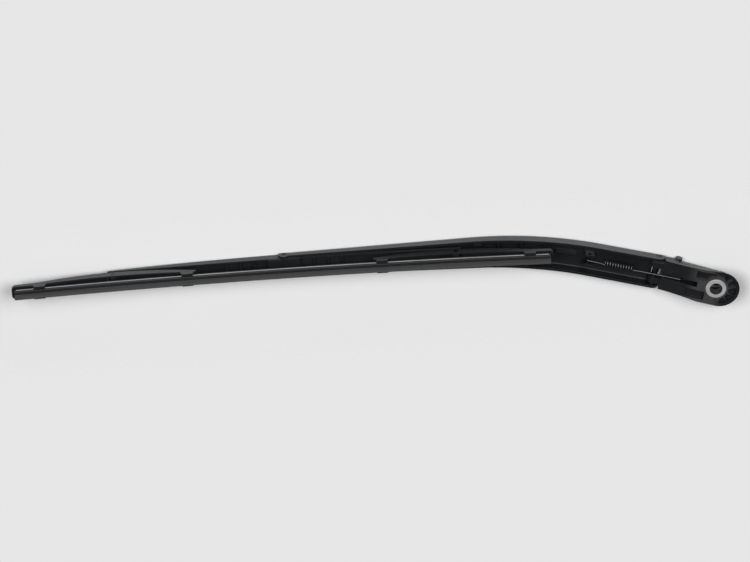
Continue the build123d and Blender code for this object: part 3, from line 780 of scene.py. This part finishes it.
def spring_path():
    """Points of the spring's wire from the loop on the anchor pin to the loop on the hook pin."""
    size = sizes()
    anchor = pin_centre("anchor_pin")
    hook = pin_centre("hook_pin")
    along = (hook - anchor).normalized()
    across = along.cross(Vector((0, 0, 1))).normalized()
    up = across.cross(along).normalized()
    span = (hook - anchor).length
    length = size.coil_turns * size.coil_pitch
    begin = COIL_END - length
    loop = PIN_RADIUS + size.wire_radius + LOOP_GAP

    def point(run, side, height):
        return anchor + along * run + across * side + up * height

    def end_loop(end, away):
        turns = [math.radians(angle) for angle in LOOP_DEGREES]
        return [point(end + away * loop * math.cos(turn), 0, loop * math.sin(turn)) for turn in turns]

    points = end_loop(0, -1)
    points.append(point(begin - COIL_LEAD, 0, loop))
    for step in range(size.coil_turns * STEPS_PER_TURN + 1):
        turn = math.tau * step / STEPS_PER_TURN
        run = begin + size.coil_pitch * step / STEPS_PER_TURN
        points.append(point(run, size.coil_radius * math.sin(turn), size.coil_radius * math.cos(turn)))
    points.append(point(begin + length + COIL_LEAD, 0, loop))
    points.extend(reversed(end_loop(span, 1)))
    return points


def spring_curve():
    """A smooth curve that follows the spring's path."""
    path = spring_path()
    curve = bpy.data.curves.new("spring_path", "CURVE")
    curve.dimensions = "3D"
    line = curve.splines.new("NURBS")
    line.points.add(len(path) - 1)
    for point, place in zip(line.points, path):
        point.co = (*place, 1)
    line.order_u = 3
    line.use_endpoint_u = True
    line.resolution_u = 2
    return curve


def wire_tree(material):
    """Node tree that gives a path a round wire's body."""
    tree = bpy.data.node_groups.new("round_wire", "GeometryNodeTree")
    tree.interface.new_socket(name="Geometry", in_out="INPUT", socket_type="NodeSocketGeometry")
    radius = tree.interface.new_socket(name="Wire radius", in_out="INPUT", socket_type="NodeSocketFloat")
    radius.default_value = sizes().wire_radius
    sides = tree.interface.new_socket(name="Sides", in_out="INPUT", socket_type="NodeSocketInt")
    sides.default_value = WIRE_SIDES
    tree.interface.new_socket(name="Geometry", in_out="OUTPUT", socket_type="NodeSocketGeometry")
    start = tree.nodes.new("NodeGroupInput")
    end = tree.nodes.new("NodeGroupOutput")
    ring = tree.nodes.new("GeometryNodeCurvePrimitiveCircle")
    body = tree.nodes.new("GeometryNodeCurveToMesh")
    body.inputs["Fill Caps"].default_value = True
    smooth = tree.nodes.new("GeometryNodeSetShadeSmooth")
    real = tree.nodes.new("GeometryNodeRealizeInstances")
    paint = tree.nodes.new("GeometryNodeSetMaterial")
    paint.inputs["Material"].default_value = material
    links = tree.links
    links.new(start.outputs["Wire radius"], ring.inputs["Radius"])
    links.new(start.outputs["Sides"], ring.inputs["Resolution"])
    links.new(start.outputs["Geometry"], body.inputs["Curve"])
    links.new(ring.outputs["Curve"], body.inputs["Profile Curve"])
    links.new(body.outputs["Mesh"], smooth.inputs["Geometry"])
    links.new(smooth.outputs["Geometry"], real.inputs["Geometry"])
    links.new(real.outputs["Geometry"], paint.inputs["Geometry"])
    links.new(paint.outputs["Geometry"], end.inputs["Geometry"])
    return tree


def set_input(modifier, name, value):
    """Set a tree's input on its modifier, by the socket's identifier."""
    for item in modifier.node_group.interface.items_tree:
        if item.item_type == "SOCKET" and item.in_out == "INPUT" and item.name == name:
            modifier[item.identifier] = value
            return
    raise ValueError(f"the tree has no input named {name}")


def plain_mesh(carrier):
    """The evaluated mesh of an object, which is then removed."""
    bpy.context.view_layer.update()
    graph = bpy.context.evaluated_depsgraph_get()
    mesh = bpy.data.meshes.new_from_object(carrier.evaluated_get(graph))
    carrier.modifiers.clear()
    bpy.data.objects.remove(carrier)
    return mesh


def make_floor(setting):
    """A wide floor just below the part."""
    level = CAD_LOW.z - FLOOR_GAP
    signs = ((-1, -1), (1, -1), (1, 1), (-1, 1))
    corners = [(along * FLOOR_REACH, side * FLOOR_REACH, level) for along, side in signs]
    mesh = bpy.data.meshes.new("floor")
    mesh.from_pydata(corners, [], [(0, 1, 2, 3)])
    floor = new_piece("floor", mesh, floor_finish(setting.floor_colour))


def make_world(setting):
    """An even light all round, and a backdrop of the floor's tone where the camera sees past the floor."""
    world = bpy.data.worlds.new("studio")
    world.use_nodes = True
    tree = world.node_tree
    sky = tree.nodes["Background"]
    sky.inputs["Color"].default_value = (1.0, 1.0, 1.0, 1.0)
    strength = tree.nodes.new("ShaderNodeMapRange")
    strength.inputs["To Min"].default_value = setting.sky_strength
    strength.inputs["To Max"].default_value = setting.backdrop_strength
    ray = tree.nodes.new("ShaderNodeLightPath")
    tree.links.new(ray.outputs["Is Camera Ray"], strength.inputs["Value"])
    tree.links.new(strength.outputs["Result"], sky.inputs["Strength"])
    bpy.context.scene.world = world


def key_light(name, offset, power):
    """A large soft light that faces the part from an offset."""
    light = bpy.data.lights.new(name, "AREA")
    light.shape = "RECTANGLE"
    light.size = KEY_SIZE
    light.size_y = KEY_SIZE
    light.energy = power
    lamp = bpy.data.objects.new(name, light)
    lamp.location = LIT_POINT + offset
    lamp.visible_camera = False
    lamp.rotation_mode = "QUATERNION"
    lamp.rotation_quaternion = (LIT_POINT - lamp.location).to_track_quat("-Z", "Y")
    bpy.context.scene.collection.objects.link(lamp)


def make_camera(setting):
    """A far camera that looks down at the part, tilted and rolled."""
    tilt, roll = setting.camera_tilt, setting.camera_roll
    back = Vector((0, math.sin(tilt), math.cos(tilt)))
    away = Vector((0, math.cos(tilt), -math.sin(tilt)))
    right = Vector((1, 0, 0)) * math.cos(roll) - away * math.sin(roll)
    up = Vector((1, 0, 0)) * math.sin(roll) + away * math.cos(roll)
    data = bpy.data.cameras.new("camera")
    data.sensor_width = SENSOR_WIDTH
    data.lens = data.sensor_width * setting.camera_distance / setting.view_width
    data.clip_end = CLIP_END
    camera = bpy.data.objects.new("camera", data)
    bpy.context.scene.collection.objects.link(camera)
    turn = Matrix((right, up, back)).transposed()
    place = CAMERA_TARGET + back * setting.camera_distance
    camera.matrix_world = Matrix.Translation(place) @ turn.to_4x4()
    bpy.context.scene.camera = camera


class WIPER_OT_stage(bpy.types.Operator):
    """Make the floor, the lights and the camera"""

    bl_idname = "wiper.stage"
    bl_label = "Make stage"

    def execute(self, context):
        setting = stage_settings()
        make_floor(setting)
        make_world(setting)
        for name, offset in KEY_OFFSETS.items():
            key_light(name, offset, setting.key_power)
        make_camera(setting)
        context.scene.view_settings.view_transform = "Standard"
        return {"FINISHED"}


class WIPER_OT_mouldings(bpy.types.Operator):
    """Finish the arm, the head and the nut cover"""

    bl_idname = "wiper.mouldings"
    bl_label = "Finish mouldings"

    def execute(self, context):
        black = colours().arm_black
        plain = moulded_black("arm_black", black, roughness=0.34, reflection_level=1.0)
        dress(("nut_cover", "arm_channel"), plain)
        # The head's finish adds a painted sheen on its upper face
        face_sheen_finish = moulded_black("head_black", black, roughness=0.38, reflection_level=1.0, painted_face_sheen=True)
        dress(("arm_head",), face_sheen_finish)
        return {"FINISHED"}


class WIPER_OT_yokes(bpy.types.Operator):
    """Finish the three yokes"""

    bl_idname = "wiper.yokes"
    bl_label = "Finish yokes"

    def execute(self, context):
        black = colours().yoke_black
        # Painted shade: the outer yokes get a fainter painted reflection on their outer sides, and the
        # inner yoke, inside the arm's channel, a still fainter one
        fainter_reflection = moulded_black("yoke_black", black, roughness=0.36, reflection_level=0.8)
        dress(("primary_yoke", "outer_yoke"), fainter_reflection)
        painted_shade = moulded_black("shaded_yoke_black", black, roughness=0.36, reflection_level=0.4)
        dress(("inner_yoke",), painted_shade)
        return {"FINISHED"}


class WIPER_OT_metal(bpy.types.Operator):
    """Finish the spindle bush and the pins"""

    bl_idname = "wiper.metal"
    bl_label = "Finish metal"

    def execute(self, context):
        dress(("spindle_bush",), turned_metal("bush_metal", colours().bush_metal, sizes().bore_radius))
        pins = [name for name in NODES if name.endswith("_pin")]
        dress(pins, bare_metal("pin_steel", colours().pin_steel, roughness=0.35))
        return {"FINISHED"}


class WIPER_OT_rubber(bpy.types.Operator):
    """Build the rubber in two halves"""

    bl_idname = "wiper.rubber"
    bl_label = "Build rubber"

    def execute(self, context):
        material = wiper_black("rubber_black", colours().rubber_black)
        for half, direction in HALVES.items():
            mesh = blade_strip(rubber_section(), 0, direction)
            smooth_by_angle(mesh, SHARP_ANGLE)
            piece = new_piece(f"rubber_{half}", mesh, material)
            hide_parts("wiper_rubber")
            bend_with_yoke(piece)
        return {"FINISHED"}


class WIPER_OT_strips(bpy.types.Operator):
    """Build the two steel strips, each in two halves"""

    bl_idname = "wiper.strips"
    bl_label = "Build strips"

    def execute(self, context):
        steel = colours().strip_steel
        material = bare_metal("strip_steel", steel, roughness=0.42, stretch=(0.03, 1, 1), bare=0.4)
        for node, side in (("near_flexor", 1), ("far_flexor", -1)):
            for half, direction in HALVES.items():
                mesh = blade_strip(strip_section(side), sizes().strip_short, direction)
                smooth_by_angle(mesh, SHARP_ANGLE)
                piece = new_piece(f"{node}_{half}", mesh, material)
                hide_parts(node)
                bend_with_yoke(piece)
        return {"FINISHED"}


class WIPER_OT_spring(bpy.types.Operator):
    """Build the tension spring's wire, coil and end loops"""

    bl_idname = "wiper.spring"
    bl_label = "Build spring"

    def execute(self, context):
        material = bare_metal("spring_steel", colours().spring_steel, roughness=0.40)
        carrier = bpy.data.objects.new("spring_path", spring_curve())
        context.scene.collection.objects.link(carrier)
        modifier = carrier.modifiers.new("wire", "NODES")
        modifier.node_group = wire_tree(material)
        set_input(modifier, "Wire radius", sizes().wire_radius)
        set_input(modifier, "Sides", WIRE_SIDES)
        piece = new_piece("spring_wire", plain_mesh(carrier), material)
        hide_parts("tension_spring")
        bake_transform(piece)
        return {"FINISHED"}


class WIPER_PT_panel(bpy.types.Panel):
    """Sizes, finishes and build steps of the wiper arm"""

    bl_label = "Wiper arm"
    bl_idname = "WIPER_PT_panel"
    bl_space_type = "VIEW_3D"
    bl_region_type = "UI"
    bl_category = "Wiper arm"

    def draw(self, context):
        layout = self.layout
        for group in (sizes(), colours(), stage_settings()):
            box = layout.box()
            for name in group.bl_rna.properties.keys():
                if name not in ("rna_type", "name"):
                    box.prop(group, name)
        for operator in OPERATORS:
            layout.operator(operator.bl_idname)


GROUPS = {
    "wiper_arm_sizes": ArmSizes,
    "wiper_arm_finish": ArmFinish,
    "wiper_arm_stage": StageSettings,
}
OPERATORS = (
    WIPER_OT_stage,
    WIPER_OT_mouldings,
    WIPER_OT_yokes,
    WIPER_OT_metal,
    WIPER_OT_rubber,
    WIPER_OT_strips,
    WIPER_OT_spring,
)


def register():
    """Add the classes and the scene's settings."""
    for group in GROUPS.values():
        bpy.utils.register_class(group)
    for operator in OPERATORS:
        bpy.utils.register_class(operator)
    bpy.utils.register_class(WIPER_PT_panel)
    for name, group in GROUPS.items():
        setattr(bpy.types.Scene, name, bpy.props.PointerProperty(type=group))


def unregister():
    """Take the scene's settings and the classes away again."""
    for name in GROUPS:
        delattr(bpy.types.Scene, name)
    bpy.utils.unregister_class(WIPER_PT_panel)
    for operator in reversed(OPERATORS):
        bpy.utils.unregister_class(operator)
    for group in GROUPS.values():
        bpy.utils.unregister_class(group)


def main():
    """Build the looks."""
    register()
    bpy.ops.wiper.stage()
    bpy.ops.wiper.mouldings()
    bpy.ops.wiper.yokes()
    bpy.ops.wiper.metal()
    bpy.ops.wiper.rubber()
    bpy.ops.wiper.strips()
    bpy.ops.wiper.spring()


if __name__ == "__main__":
    main()
